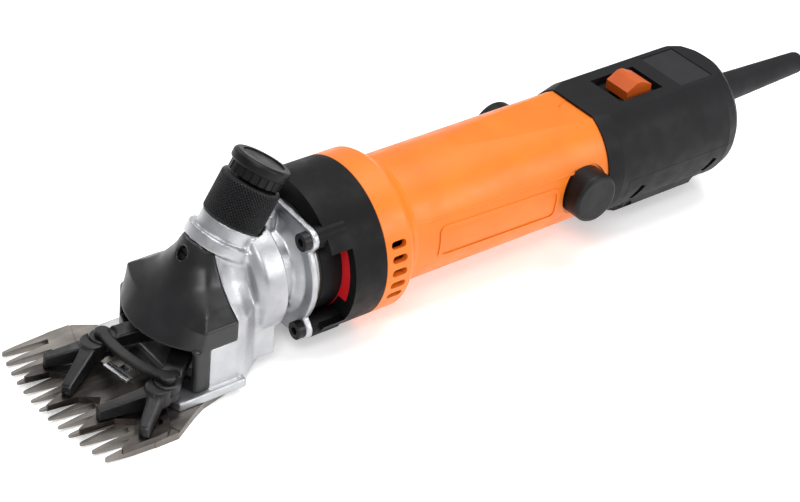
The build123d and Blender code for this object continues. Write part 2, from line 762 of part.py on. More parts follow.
def gear_liner():
    """Red liner around the gear pair, with a rib in each slot of the gear case."""
    front = -case_ring_length + slide_gap / 3
    back = -bearing_plate_width
    outside = gear_pocket(liner_radius, front, back, liner_wall)
    rib = tube(red_slot_radius, liner_radius - liner_wall, front, back)
    edge = slide_gap / 3
    outside += both_sides(rib & block((front, back), (0, 60), (red_slot_low + edge, red_slot_high - edge)))
    return outside - gear_pocket(liner_radius - liner_wall, front, back)


def drive_gear():
    face = involute_face(gear_teeth)
    half_tooth = 180.0 / gear_teeth
    gear = extrude(Rot(0, 0, 90 + half_tooth) * face, gear_width)
    gear = Pos(-gear_front, 0, crank_z) * Rot(0, 90, 0) * gear
    for i in range(5):
        angle = 2 * math.pi * i / 5
        y, z = 7.2 * math.cos(angle), crank_z + 7.2 * math.sin(angle)
        gear -= rod(1.8, -gear_front, -gear_front + gear_width, y, z)
    return gear - rod(crank_shaft_radius, -gear_front, -gear_front + gear_width, 0, crank_z)


def crank_shaft():
    """Crank with its head in front of the gear case and its pin at +Y."""
    head_front = case_front - 7.6
    shape = rod(crank_shaft_radius, head_front, -bearing_plate_width, 0, crank_z)
    shape += rod(crank_end_radius, -bearing_plate_width, -0.5, 0, crank_z)
    shape += rod(crank_head_radius, head_front, head_front + 4.0, 0, crank_z)
    pin_front = roller_x - roller_width / 2
    return shape + rod(crank_pin_radius, pin_front, head_front, throw, crank_z)


def crank_roller():
    front, back = roller_x - roller_width / 2, roller_x + roller_width / 2
    return tube(roller_radius, crank_pin_radius, front, back, throw, crank_z)


def bearing(outer, inner, x0, x1, z=0.0):
    """Ball bearing drawn as one ring with a groove in each face for its shields."""
    ring = tube(outer, inner, x0, x1, 0, z)
    groove_out, groove_in = outer - 1.1, inner + 1.1
    ring -= tube(groove_out, groove_in, x0, x0 + 0.3, 0, z)
    return ring - tube(groove_out, groove_in, x1 - 0.3, x1, 0, z)


def crank_bearing():
    front = case_front
    return bearing(crank_bearing_radius, crank_shaft_radius + running_fit, front,
                   front + bearing_width, crank_z)


def crank_bush():
    return tube(4.2, crank_end_radius + running_fit, -bearing_plate_width, 0, 0, crank_z)


def bearing_plate():
    """Plate behind the gears with the motor's front bearing and the crank's bush."""
    shape = gear_pocket(liner_radius, -bearing_plate_width, 0, liner_wall)
    shape -= rod(motor_bearing_radius, -bearing_plate_width, 0)
    return shape - rod(4.2, -bearing_plate_width, 0, 0, crank_z)


# ---------------------------------------------------------------- motor


def motor_housing():
    """Orange housing: wide ring with vents, shoulder and round body."""
    back = motor_length
    ring, body = case_radius, body_radius
    edge = 1.4
    outline = [(0, ring - wall), (0, ring - 0.3), (0.3, ring), (flare_length - edge, ring)]
    outline += [(flare_length, ring - edge * 0.6), (flare_length + shoulder_length, body + 0.6)]
    outline += [(flare_length + shoulder_length + 2, body), (back, body), (back, body - wall)]
    outline += [(flare_length + shoulder_length, body - wall), (flare_length, ring - wall)]
    shape = turned(outline)
    cut = [(body_flat_start, body + 0.01), (back + 1, body_flat_z), (back + 1, body + 5)]
    shape -= slab(cut, 40.0)
    drop = flat_wall
    roof_start = core_start + core_length + 9.0
    roof = [(roof_start, body_flat_z - drop), (back, body_flat_z - drop), (back, body_flat_z)]
    roof += [(roof_start, body_flat_z)]
    shape += slab(roof, 14.0) & rod(body_radius - 0.5, 0, back)
    for i in range(vent_count):
        angle = vent_step * (i - (vent_count - 1) / 2)
        slot = Pos(6.2, 50, 0) * Rot(90, 0, 0) * extrude(SlotOverall(vent_length, vent_width), 100)
        shape -= slot.rotate(Axis.X, angle)
    shape += both_sides(side_panel())
    recess = brush_cap_radius + 1.0
    floor = body_radius - 2.2
    shape += both_sides(side_rod(recess + 1.6, body_radius - 6.0, body_radius - 2.2, brush_x, 0)
                        & rod(body_radius, 0, back))
    shape -= both_sides(side_rod(recess, floor, body_radius + 9, brush_x, 0))
    return shape - both_sides(side_rod(brush_bore, body_radius - 7, body_radius, brush_x, 0))


def side_panel():
    """Raised frame of the side panel, on the +Y side."""
    length, height, band = 61.0, 14.6, 1.6
    outer = extrude(RectangleRounded(length, height, 3.0), 60)
    inner = extrude(RectangleRounded(length - 2 * band, height - 2 * band, 1.8), 60)
    frame = Pos(61.0, 0, -0.5) * Rot(0, 1.5, 0) * Rot(-90, 0, 0) * (outer - inner)
    return frame & tube(body_radius + 0.5, body_radius - 0.5, 20, motor_length - 20)


def stator_core():
    return tube(body_radius - wall - 0.2, stator_bore, core_start, core_start + core_length)


def field_windings():
    """Two saddle coils shown as rings beyond each end of the stator core."""
    shape = None
    for start in (core_start - 9.0, core_start + core_length):
        ring = tube(body_radius - wall - 3.0, stator_bore + 1.2, start, start + 9.0)
        gap = block((0, motor_length), (-60, 60), (-3.0, 3.0))
        ring -= gap
        shape = ring if shape is None else shape + ring
    return shape


def armature_shaft():
    """Armature shaft with the pinion cut on its front end."""
    shape = rod(shaft_radius, -bearing_plate_width - 1.0, rear_bearing_x + bearing_width - 0.5)
    pinion = extrude(Rot(0, 0, -90) * involute_face(pinion_teeth), pinion_front - bearing_plate_width)
    return shape + Pos(-pinion_front, 0, 0) * Rot(0, 90, 0) * pinion


def armature_core():
    """Laminated core with its winding slots."""
    shape = rod(armature_radius, core_start, core_start + core_length)
    for i in range(12):
        slot = block((core_start, core_start + core_length), (-0.9, 0.9), (armature_radius - 4, 30))
        shape -= slot.rotate(Axis.X, 30 * i)
    return shape - rod(shaft_radius, core_start, core_start + core_length)


def armature_windings():
    """End turns of the armature, in front of and behind its core."""
    shape = None
    for start, end in ((core_start - 8, core_start), (core_start + core_length, commutator_x - 1)):
        ring = tube(armature_radius - 1.5, shaft_radius, start, end)
        shape = ring if shape is None else shape + ring
    return shape


def commutator():
    shape = tube(commutator_radius, shaft_radius, commutator_x, commutator_x + 16.0)
    for i in range(24):
        slot = block((commutator_x + 1.5, commutator_x + 16.0), (-0.25, 0.25),
                     (commutator_radius - 0.8, 20))
        shape -= slot.rotate(Axis.X, 15 * i)
    return shape


def fan():
    """Cooling fan behind the bearing plate, blowing out through the vents."""
    start, width = 3.0, 9.0
    tip = case_radius - wall - 1.6
    shape = rod(tip, start, start + 1.6) + rod(7.0, start, start + width)
    for i in range(fan_blades):
        blade = block((start, start + width), (-0.7, 0.7), (6.0, tip - 0.2))
        shape += blade.rotate(Axis.X, 360 * i / fan_blades)
    return shape - rod(shaft_radius, start, start + width)


def front_motor_bearing():
    return bearing(motor_bearing_radius, shaft_radius + running_fit, -bearing_plate_width, 0)


def rear_motor_bearing():
    end = rear_bearing_x + bearing_width
    return bearing(motor_bearing_radius, shaft_radius + running_fit, rear_bearing_x, end)


def brush_holders():
    """Brass guides that lead the brushes to the commutator."""
    low, high = commutator_radius + 1.0, brush_floor - 0.4
    guide = block((brush_x - 4.6, brush_x + 4.6), (low, high), (-3.9, 3.9))
    hole = block((brush_x - 3.6, brush_x + 3.6), (low, high), (-2.9, 2.9))
    return both_sides(guide - hole)


def carbon_brushes():
    low = commutator_radius + 0.1
    return both_sides(block((brush_x - 3.4, brush_x + 3.4), (low, low + 8.0), (-2.7, 2.7)))


def brush_springs():
    """Springs that press the brushes in, drawn at their fitted length."""
    low, high = commutator_radius + 8.1, brush_floor
    wire, pitch = 0.35, 1.3
    path = Helix(pitch, high - low - 2 * wire, 2.0)
    ring = Plane(path @ 0, z_dir=path % 0) * Circle(wire)
    spring = sweep(ring, path, is_frenet=True)
    return both_sides(Pos(brush_x, low + wire, 0) * Rot(-90, 0, 0) * spring)


def brush_cap(side):
    """Plain round screw cap over a brush."""
    base_y = body_radius - 2.2 + 0.05
    shape = side_rod(brush_cap_radius, base_y, brush_cap_face, brush_x, 0)
    shape = fillet(shape.edges().group_by(Axis.Y)[-1], brush_cap_edge)
    shape += side_rod(brush_bore - 0.1, brush_floor, base_y, brush_x, 0)
    return shape if side > 0 else mirror(shape, Plane.XZ)


# ---------------------------------------------------------------- rear housing


def rear_section(inset):
    """Rear housing's outside, or its inside when an inset is given."""
    front, back = motor_length, rear_end
    r = rear_radius - inset
    outline = [(front, 0), (front, r - 1.5), (front + 7, r), (back - 9, r), (back - 4, r - 1.4)]
    outline += [(back - 1.2, r - 3.6), (back, r - 5.6), (back, 0)]
    if inset:
        outline = [(front + rear_web, 0), (front + rear_web, r), (back - 9, r)]
        outline += [(back - rear_wall, r - 3.2), (back - rear_wall, 0)]
    shape = turned(outline)
    return shape - block((0, 400), (-60, 60), (flat_top_z - inset, 60))


def rear_housing():
    """Black rear housing, open below for the lower cover."""
    shape = rear_section(0.0) - rear_section(rear_wall)
    shape -= block((cover_start, 400), (-60, 60), (-60, cover_split))
    shape -= rod(motor_bearing_radius, rear_bearing_x, rear_bearing_x + bearing_width)
    shape -= rod(shaft_radius + 0.5, motor_length - 1, rear_bearing_x)
    for y in (-1, 1):
        shape -= rod(3.0, motor_length - 1, motor_length + 20, y * 15.0, 8.0)
    sw = switch_centre_x
    well = (sw - switch_length / 2 - 1.5 - switch_travel, sw + switch_length / 2 + switch_room)
    half = switch_width / 2 + switch_room - 0.5
    well_floor = flat_top_z - switch_well
    shape += block((well[0] - 2, well[1] + 2), (-half - 2, half + 2), (well_floor - 2, flat_top_z))
    shape -= block(well, (-half, half), (well_floor, 60))
    stem = (sw - 3.0 - switch_travel - slide_gap, sw + 3.0 + slide_gap)
    shape -= block(stem, (-3.0 - slide_gap, 3.0 + slide_gap), (0, 60))
    label = block(label_span, (-label_half, label_half), (flat_top_z - label_depth, 60))
    shape -= label
    for x, y in cover_screw_places():
        shape += post(3.4, cover_split, 18.0, x, y) & rear_section(0.5)
        shape -= post(cover_screw_radius, cover_split, cover_split + 10.0, x, y)
    shape += cable_gland_block()
    return shape - rod(sleeve_neck, rear_end - rear_wall - 1, rear_end + 1, 0, cable_z)


def cable_gland_block():
    """Half-round seat inside the rear wall that the cable clamp screws to."""
    span = (rear_end - 24.0, rear_end - 14.0)
    seat = block(span, (-9.0, 9.0), (cable_z + cable_radius, flat_top_z - 1.0))
    for y in (-clamp_screw_y, clamp_screw_y):
        seat -= post(1.2, 0, cable_z + cable_radius + 8.0, rear_end - 19.0, y)
    return seat


def cover_screw_places():
    rows = (cover_start + 8.0, rear_end - 14.0)
    return [(x, y) for x in rows for y in (-cover_screw_y, cover_screw_y)]


def lower_cover():
    """Lower cover with vents and a flat that the tool rests on."""
    top = cover_split - 0.15
    shape = rear_section(0.0) & block((cover_start + 0.2, 400), (-60, 60), (-60, top))
    front = cover_start + 0.2
    foot = section(front, [(5.0, rest_z), (14.0, -27.6), (20.5, -21.5), (25.0, -12.0)])
    ramp = [(front - 1, -6.0), (front, -8.0), (front + 11, rest_z - 1), (front - 1, rest_z - 1)]
    shape += extrude(foot, foot_length, dir=(1, 0, 0)) - slab(ramp, 40.0)
    inside = rear_section(rear_wall) & block((cover_start + rear_wall, 400), (-60, 60), (-60, 60))
    shape -= inside
    for x in (vent_front_x, vent_rear_x):
        slot = block((-1.6, 1.6), (18.0, 40.0), (-4.0, 3.6))
        shape -= both_sides(Pos(x, 0, -11.0) * Rot(0, 28.0, 0) * slot)
    for x, y in cover_screw_places():
        shape += post(4.4, cover_screw_seat - 6.0, top, x, y) & rear_section(0.5)
        shape -= post(cover_screw_radius + 0.2, rest_z, top, x, y)
        shape -= post(3.2, rest_z - 1, cover_screw_seat, x, y)
    return shape - rod(sleeve_neck, rear_end - rear_wall - 1, rear_end + 1, 0, cable_z)


def lower_cover_screws():
    shape = None
    for x, y in cover_screw_places():
        screw = post(3.0, cover_screw_seat - 2.0, cover_screw_seat, x, y)
        screw += post(cover_screw_radius, cover_screw_seat, cover_split + 9.0, x, y)
        shape = screw if shape is None else shape + screw
    return shape


def switch_slider():
    """Orange roof-shaped slider on top, with a stem down to the switch."""
    half = switch_length / 2
    low = flat_top_z - switch_well + slide_gap / 3
    roof = [(-half, low), (half, low), (half, flat_top_z + 0.8), (0.8, flat_top_z + 3.6)]
    roof += [(-1.6, flat_top_z + 3.6), (-half, flat_top_z + 0.6)]
    shape = Pos(switch_centre_x, 0, 0) * slab(roof, switch_width / 2)
    stem = block((switch_centre_x - 3, switch_centre_x + 3), (-3, 3), (switch_body_top + 0.3, low))
    return shape + stem


def switch_body():
    """Mains switch under the slider."""
    x = switch_centre_x
    shape = block((x - 14, x + 12), (-7, 7), (switch_body_top - 14, switch_body_top - 2))
    rails = block((x - 14, x - 10), (-7, 7), (switch_body_top - 2, switch_body_top + 1))
    return shape + rails + block((x + 6, x + 12), (-7, 7), (switch_body_top - 2, switch_body_top + 1))


def capacitor():
    x = cover_start + 16.0
    return block((x, x + 18.0), (-9.0, 9.0), (-16.0, -5.0))


def label_plate():
    """Plain rating plate let into the top."""
    x0, x1 = label_span
    edge = 0.1
    low = flat_top_z - label_depth
    return block((x0 + edge, x1 - edge), (-label_half + edge, label_half - edge), (low, low + 0.4))


def cable_sleeve():
    """Tapered rubber sleeve that guards the cable where it leaves the housing."""
    flange_x = rear_end - rear_wall - 3.0
    profile = [(flange_x, 0), (flange_x, sleeve_neck + 3), (flange_x + 2.8, sleeve_neck + 3)]
    profile += [(flange_x + 2.8, sleeve_neck - 0.1), (rear_end + 0.3, sleeve_neck - 0.1)]
    profile += [(rear_end + 0.3, sleeve_base_radius + 1.2), (rear_end + 2.6, sleeve_base_radius + 1.2)]
    profile += [(rear_end + 3.4, sleeve_base_radius), (sleeve_end - 2.0, sleeve_end_radius + 0.2)]
    profile += [(sleeve_end - 0.6, sleeve_end_radius - 0.2), (sleeve_end, sleeve_end_radius - 1.0)]
    profile.append((sleeve_end, 0))
    shape = Pos(0, 0, cable_z) * turned(profile)
    return shape - rod(cable_radius, flange_x, sleeve_end, 0, cable_z)


def cable_clamp():
    """Bridge that would hold the cable, with its two screws beside the cable."""
    x0, x1 = rear_end - 24.0, rear_end - 14.0
    low = cable_z - cable_radius - 2.4
    shape = block((x0, x1), (-9.0, 9.0), (low, cable_z + cable_radius - 0.2))
    shape -= block((x0, x1), (-cable_radius, cable_radius), (cable_z - cable_radius, 60))
    for y in (-clamp_screw_y, clamp_screw_y):
        shape -= post(1.3, low, 60, (x0 + x1) / 2, y)
    return shape


def cable_clamp_screws():
    shape = None
    x = rear_end - 19.0
    low = cable_z - cable_radius - 2.4
    for y in (-clamp_screw_y, clamp_screw_y):
        screw = post(2.2, low - 1.8, low, x, y) + post(1.2, low, low + 14.0, x, y)
        shape = screw if shape is None else shape + screw
    return shape


# ---------------------------------------------------------------- export


def all_parts():
    """Every node of the shears, by name."""
    return {
        "comb": comb(),
        "comb_screws": comb_screws(),
        "cutter": cutter(),
        "chicken_foot_left": chicken_foot(1),
        "chicken_foot_right": chicken_foot(-1),
        "foot_yoke": foot_yoke(),
        "yoke_clip": yoke_clip(),
        "fork": fork(),
        "centre_post": centre_post(),
        "head_casting": head_casting(),
        "nose_cover": nose_cover(),
        "nose_cover_screw": nose_cover_screw(),
        "tension_sleeve": tension_sleeve(),
        "tension_nut": tension_nut(),
        "tension_pin": tension_pin(),
        "tension_spring": tension_spring(),
        "head_screws": head_screws(),
        "head_gasket": gasket(),
        "gear_case": gear_case(),
        "gear_liner": gear_liner(),
        "drive_gear": drive_gear(),
        "crank_shaft": crank_shaft(),
        "crank_roller": crank_roller(),
        "crank_bearing": crank_bearing(),
        "crank_bush": crank_bush(),
        "bearing_plate": bearing_plate(),
        "motor_housing": motor_housing(),
        "stator_core": stator_core(),
        "field_windings": field_windings(),
        "armature_shaft": armature_shaft(),
        "armature_core": armature_core(),
        "armature_windings": armature_windings(),
        "commutator": commutator(),
        "fan": fan(),
        "front_motor_bearing": front_motor_bearing(),
        "rear_motor_bearing": rear_motor_bearing(),
        "brush_holders": brush_holders(),
        "carbon_brushes": carbon_brushes(),
        "brush_springs": brush_springs(),
        "brush_cap_left": brush_cap(1),
        "brush_cap_right": brush_cap(-1),
        "rear_housing": rear_housing(),
        "lower_cover": lower_cover(),
        "lower_cover_screws": lower_cover_screws(),
        "switch_slider": switch_slider(),
        "switch_body": switch_body(),
        "capacitor": capacitor(),
        "label_plate": label_plate(),
        "cable_sleeve": cable_sleeve(),
        "cable_clamp": cable_clamp(),
        "cable_clamp_screws": cable_clamp_screws(),
    }


os.makedirs("parts", exist_ok=True)
for node, shape in all_parts().items():
    export_step(to_rest_origin * shape, f"parts/{node}.step")
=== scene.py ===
import json
import math

import bpy
from mathutils import Matrix, Vector


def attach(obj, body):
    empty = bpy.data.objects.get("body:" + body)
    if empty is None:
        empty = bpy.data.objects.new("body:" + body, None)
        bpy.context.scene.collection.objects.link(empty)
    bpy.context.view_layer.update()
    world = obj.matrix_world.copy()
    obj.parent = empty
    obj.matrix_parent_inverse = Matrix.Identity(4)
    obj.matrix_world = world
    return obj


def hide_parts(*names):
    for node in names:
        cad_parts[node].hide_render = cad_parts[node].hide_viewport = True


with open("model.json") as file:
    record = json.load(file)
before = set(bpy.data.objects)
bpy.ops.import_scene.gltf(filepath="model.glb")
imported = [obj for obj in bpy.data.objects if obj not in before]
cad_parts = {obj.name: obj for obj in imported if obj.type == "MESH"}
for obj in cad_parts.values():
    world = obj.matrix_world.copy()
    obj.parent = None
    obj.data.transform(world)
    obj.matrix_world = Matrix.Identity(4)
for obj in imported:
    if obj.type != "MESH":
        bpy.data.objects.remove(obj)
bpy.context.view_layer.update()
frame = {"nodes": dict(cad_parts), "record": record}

cad_nodes = frame["nodes"]
record = frame["record"]
MM = 0.001

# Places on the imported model, in metres for the knob and in millimetres for the rest
KNOB_FOOT = (-0.11165, 0.0, 0.0576)       # lower end of the grip sleeve
KNOB_LEAN = math.radians(31.0)            # leaning back from vertical
MOTOR_AXIS_Z = 33.0
MOTOR_RADIUS = 26.0
COVER_SCREW = (-133.2, 0.0, 50.6)
SCREW_CLEAR = 5.2                         # kept sharp around the cover screw
COVER_REAR_X = -126.2                     # the nose cover is melted in front of this
COVER_RIDGE_Z = 35.6                      # and above this
WALL_FRONT_X = -123.6                     # the casting's walls are melted between these
WALL_REAR_X = -108.5
WALL_INNER_Y = 9.0
WALL_LOW_Z = 10.0
WALL_HIGH_Z = 54.0


def linear(red, green, blue):
    """Scene colour of a screen colour given in 0 to 255."""
    def channel(value):
        value /= 255.0
        return value / 12.92 if value <= 0.04045 else ((value + 0.055) / 1.055) ** 2.4
    return channel(red), channel(green), channel(blue), 1.0


# ---------------------------------------------------------------- materials


class Surface:
    """Builds one procedural material around a Principled shader."""

    def __init__(self, name):
        self.material = bpy.data.materials.new(name)
        self.material.use_nodes = True
        self.tree = self.material.node_tree
        self.shader = self.tree.nodes["Principled BSDF"]
        self.place = self.add("ShaderNodeTexCoord").outputs["Object"]
        self.normal = None

    def add(self, kind, **settings):
        node = self.tree.nodes.new(kind)
        for key, value in settings.items():
            setattr(node, key, value)
        return node

    def link(self, output, socket):
        self.tree.links.new(output, socket)

    def noise(self, scale, detail=3.0, stretch=(1.0, 1.0, 1.0), offset=0.0):
        """Noise at scale cycles per metre, pulled out along an axis by a small stretch."""
        mapping = self.add("ShaderNodeMapping")
        mapping.inputs["Scale"].default_value = stretch
        mapping.inputs["Location"].default_value = (offset, offset, offset)
        self.link(self.place, mapping.inputs["Vector"])
        texture = self.add("ShaderNodeTexNoise")
        texture.inputs["Scale"].default_value = scale
        texture.inputs["Detail"].default_value = detail
        self.link(mapping.outputs["Vector"], texture.inputs["Vector"])
        return texture.outputs["Fac"]

    def spread(self, value, low, high, from_low=0.35, from_high=0.65):
        """Value mapped onto low to high."""
        span = self.add("ShaderNodeMapRange")
        span.inputs["From Min"].default_value = from_low
        span.inputs["From Max"].default_value = from_high
        span.inputs["To Min"].default_value = low
        span.inputs["To Max"].default_value = high
        self.link(value, span.inputs["Value"])
        return span.outputs["Result"]

    def times(self, a, b):
        product = self.add("ShaderNodeMath", operation="MULTIPLY")
        self.link(a, product.inputs[0])
        self.link(b, product.inputs[1])
        return product.outputs[0]

    def blend(self, share, first, second):
        """Mix of two colours; each is a colour or an output."""
        mix = self.add("ShaderNodeMix", data_type="RGBA")
        self.link(share, mix.inputs["Factor"])
        for socket, colour in ((mix.inputs[6], first), (mix.inputs[7], second)):
            if isinstance(colour, tuple):
                socket.default_value = colour
            else:
                self.link(colour, socket)
        return mix.outputs[2]

    def edges(self, low, high):
        """Near 1 on worn outer edges, broken up by noise."""
        pointed = self.add("ShaderNodeNewGeometry").outputs["Pointiness"]
        rim = self.spread(pointed, 0.0, 1.0, low, high)
        return self.times(rim, self.spread(self.noise(420.0, 4.0, offset=3.1), 0.0, 1.0, 0.4, 0.62))

    def colour(self, output):
        self.link(output, self.shader.inputs["Base Color"])

    def roughness(self, output):
        self.link(output, self.shader.inputs["Roughness"])

    def bump(self, height, distance, strength=1.0):
        """Adds a height layer on top of those before it; distance is in metres."""
        bump = self.add("ShaderNodeBump")
        bump.inputs["Strength"].default_value = strength
        bump.inputs["Distance"].default_value = distance
        self.link(height, bump.inputs["Height"])
        if self.normal is not None:
            self.link(self.normal, bump.inputs["Normal"])
        self.normal = bump.outputs["Normal"]
        self.link(self.normal, self.shader.inputs["Normal"])

    def fixed(self, **values):
        """Values that are the same all over, set on the shader's own sockets."""
        names = {"metallic": "Metallic", "coat": "Coat Weight", "coat_roughness": "Coat Roughness",
                 "specular": "Specular IOR Level"}
        for key, value in values.items():
            self.shader.inputs[names[key]].default_value = value


def plastic(name, dark, light, rough=(0.38, 0.5), grain=2600.0, depth=0.02, specular=0.4):
    """Moulded plastic: fine spark texture and faint flow clouds."""
    skin = Surface(name)
    clouds = skin.spread(skin.noise(38.0, 3.0), 0.0, 1.0)
    skin.colour(skin.blend(clouds, dark, light))
    skin.roughness(skin.spread(skin.noise(150.0, 4.0, offset=1.7), *rough))
    skin.bump(skin.noise(grain, 2.0), depth * MM, 0.8)
    skin.bump(skin.noise(90.0, 2.0, offset=5.0), 0.02 * MM, 0.25)
    skin.fixed(specular=specular)
    return skin.material


def metal(name, dark, light, rough, grain, depth, stretch=(1.0, 1.0, 1.0), worn=None, metallic=1.0):
    """Bare or blackened metal with machining or casting marks."""
    skin = Surface(name)
    marks = skin.spread(skin.noise(grain, 3.0, stretch), 0.0, 1.0)
    clouds = skin.spread(skin.noise(55.0, 4.0, offset=2.3), 0.0, 1.0)
    tone = skin.blend(clouds, dark, light)
    tone = skin.blend(skin.times(marks, clouds), tone, light)
    if worn:
        tone = skin.blend(skin.edges(0.52, 0.6), tone, worn)
    skin.colour(tone)
    skin.roughness(skin.spread(skin.noise(grain * 0.4, 3.0, stretch, 4.4), *rough))
    skin.bump(skin.noise(grain, 3.0, stretch), depth * MM, 0.7)
    skin.fixed(metallic=metallic)
    return skin.material


def cast_aluminium():
    """Pressure-cast aluminium: bright, with fine pebbled skin and painted shade darkening its hollows.
    """
    skin = Surface("cast_aluminium")
    clouds = skin.spread(skin.noise(48.0, 5.0), 0.0, 1.0)
    tone = skin.blend(clouds, linear(166, 167, 171), linear(192, 193, 195))
    # painted shade: concave hollows, found by pointiness, are darkened towards a dark grey as if shade
    # fell in them
    pointed = skin.add("ShaderNodeNewGeometry").outputs["Pointiness"]
    painted_hollow_shade = skin.spread(pointed, 1.0, 0.0, 0.42, 0.49)
    tone = skin.blend(painted_hollow_shade, tone, linear(112, 113, 118))
    skin.colour(tone)
    skin.roughness(skin.spread(skin.noise(240.0, 4.0, offset=1.1), 0.36, 0.5))
    skin.bump(skin.noise(1300.0, 3.0), 0.05 * MM, 1.0)
    skin.bump(skin.noise(160.0, 3.0, offset=8.0), 0.08 * MM, 0.4)
    skin.fixed(metallic=0.95)
    return skin.material


def laminations():
    """Edges of stacked steel sheets across the motor axis."""
    skin = Surface("laminations")
    wave = skin.add("ShaderNodeTexWave", wave_type="BANDS", bands_direction="X")
    wave.inputs["Scale"].default_value = 320.0
    wave.inputs["Distortion"].default_value = 0.4
    skin.link(skin.place, wave.inputs["Vector"])
    skin.colour(skin.blend(wave.outputs["Fac"], linear(84, 84, 88), linear(142, 142, 146)))
    skin.roughness(skin.spread(skin.noise(300.0), 0.35, 0.55))
    skin.bump(wave.outputs["Fac"], 0.06 * MM, 0.6)
    skin.fixed(metallic=1.0)
    return skin.material


def windings():
    """Enamelled copper wire wound in rings."""
    skin = Surface("windings")
    wave = skin.add("ShaderNodeTexWave", wave_type="RINGS", rings_direction="X")
    wave.inputs["Scale"].default_value = 260.0
    wave.inputs["Distortion"].default_value = 1.2
    skin.link(skin.place, wave.inputs["Vector"])
    skin.colour(skin.blend(wave.outputs["Fac"], linear(96, 44, 22), linear(206, 118, 66)))
    skin.roughness(skin.spread(skin.noise(500.0), 0.25, 0.45))
    skin.bump(wave.outputs["Fac"], 0.2 * MM, 0.8)
    skin.fixed(metallic=1.0, coat=0.3, coat_roughness=0.2)
    return skin.material


BLACK = (linear(13, 13, 15), linear(19, 19, 22))
materials = {
    "comb_steel": metal("comb_steel", linear(101, 97, 93), linear(132, 127, 122), (0.34, 0.5), 800.0,
                        0.012, (0.1, 1.0, 1.0)),
    "cutter_steel": metal("cutter_steel", linear(66, 62, 60), linear(100, 95, 91), (0.3, 0.44), 900.0,
                          0.012, (0.12, 1.0, 1.0)),
    "fork_steel": metal("fork_steel", linear(20, 20, 22), linear(36, 35, 36), (0.32, 0.46), 700.0,
                        0.05, worn=linear(92, 92, 95), metallic=0.45),
    "black_steel": metal("black_steel", linear(12, 12, 14), linear(22, 22, 25), (0.36, 0.5), 1600.0,
                         0.015, metallic=0.4),
    "bright_steel": metal("bright_steel", linear(168, 168, 172), linear(206, 206, 210), (0.2, 0.34),
                          1400.0, 0.012, (1.0, 0.2, 1.0)),
    "cast_aluminium": cast_aluminium(),
    "black_plastic": plastic("black_plastic", *BLACK, rough=(0.5, 0.62), specular=0.22),
    "cover_plastic": plastic("cover_plastic", *BLACK, rough=(0.3, 0.42), grain=3200.0, depth=0.01,
                             specular=0.5),
    "case_plastic": plastic("case_plastic", linear(7, 7, 8), linear(12, 12, 13), rough=(0.46, 0.6),
                            specular=0.16),
    "cap_plastic": plastic("cap_plastic", linear(9, 9, 10), linear(15, 15, 17), rough=(0.4, 0.54),
                           grain=3000.0, depth=0.012, specular=0.24),
    "orange_plastic": plastic("orange_plastic", linear(220, 112, 26), linear(228, 120, 33),
                              (0.36, 0.48), 2200.0, 0.014, 0.35),
    "slider_plastic": plastic("slider_plastic", linear(178, 74, 16), linear(196, 88, 24),
                              (0.38, 0.5), 2200.0, 0.014, 0.35),
    "red_plastic": plastic("red_plastic", linear(186, 16, 26), linear(206, 26, 34), (0.4, 0.52)),
    "gasket": plastic("gasket", linear(46, 42, 38), linear(66, 60, 54), (0.7, 0.85), 900.0, 0.08, 0.2),
    "brass": metal("brass", linear(176, 140, 74), linear(216, 182, 108), (0.22, 0.36), 1200.0, 0.015),
    "core_steel": laminations(),
    "copper": windings(),
    "carbon": plastic("carbon", linear(28, 28, 30), linear(46, 46, 50), (0.5, 0.7), 1800.0, 0.05, 0.3),
    "capacitor_film": plastic("capacitor_film", linear(206, 184, 96), linear(224, 204, 122)),
    "label": plastic("label", linear(20, 20, 22), linear(28, 28, 31), (0.36, 0.46), 3200.0, 0.008, 0.4),
    "rubber": plastic("rubber", linear(17, 17, 19), linear(25, 25, 28), (0.55, 0.7), 1400.0, 0.03, 0.25),
}

slot_of = {part["node"]: part["material_slot"] for part in record["subparts"]}
body_of = {node: body for body, group in record["behaviour"]["bodies"].items() for node in group}


def paint(piece, slot_name):
    piece.data.materials.clear()
    piece.data.materials.append(materials[slot_name])


LOOK = {"tension_nut": "cap_plastic", "nose_cover": "cover_plastic", "switch_slider": "slider_plastic",
        "gear_case": "case_plastic", "fan": "orange_plastic",
        "brush_cap_left": "cap_plastic", "brush_cap_right": "cap_plastic"}
for node_name, node in cad_nodes.items():
    paint(node, LOOK.get(node_name, slot_of[node_name]))


# ---------------------------------------------------------------- pieces


def finished(piece, node):
    """Gives a new piece the material and the body of a CAD node."""
    paint(piece, LOOK.get(node, slot_of[node]))
    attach(piece, body_of[node])
    return piece


def rounded_copy(node, voxel, rounds):
    """Stands for a CAD node with the soft edges and fillets that casting or moulding gives."""
    piece = bpy.data.objects.new(node + "_rounded", cad_nodes[node].data.copy())
    bpy.context.collection.objects.link(piece)
    remesh = piece.modifiers.new("remesh", "REMESH")
    remesh.mode = "VOXEL"
    remesh.voxel_size = voxel * MM
    smooth = piece.modifiers.new("smooth", "SMOOTH")
    smooth.iterations = rounds
    smooth.factor = 0.5
    graph = bpy.context.evaluated_depsgraph_get()
    mesh = bpy.data.meshes.new_from_object(piece.evaluated_get(graph))
    piece.modifiers.clear()
    piece.data = mesh
    mesh.polygons.foreach_set("use_smooth", [True] * len(mesh.polygons))
    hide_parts(node)
    return finished(piece, node)


def soften(piece, share_at, rounds):
    """Melts the facets of a moulded shape where share_at gives more than nothing."""
    group = piece.vertex_groups.new(name="soft")
    for vertex in piece.data.vertices:
        share = share_at(*(axis / MM for axis in vertex.co))
        if share > 0.0:
            group.add([vertex.index], min(1.0, share), "REPLACE")
    smooth = piece.modifiers.new("soft", "SMOOTH")
    smooth.iterations = rounds
    smooth.factor = 0.5
    smooth.vertex_group = group.name


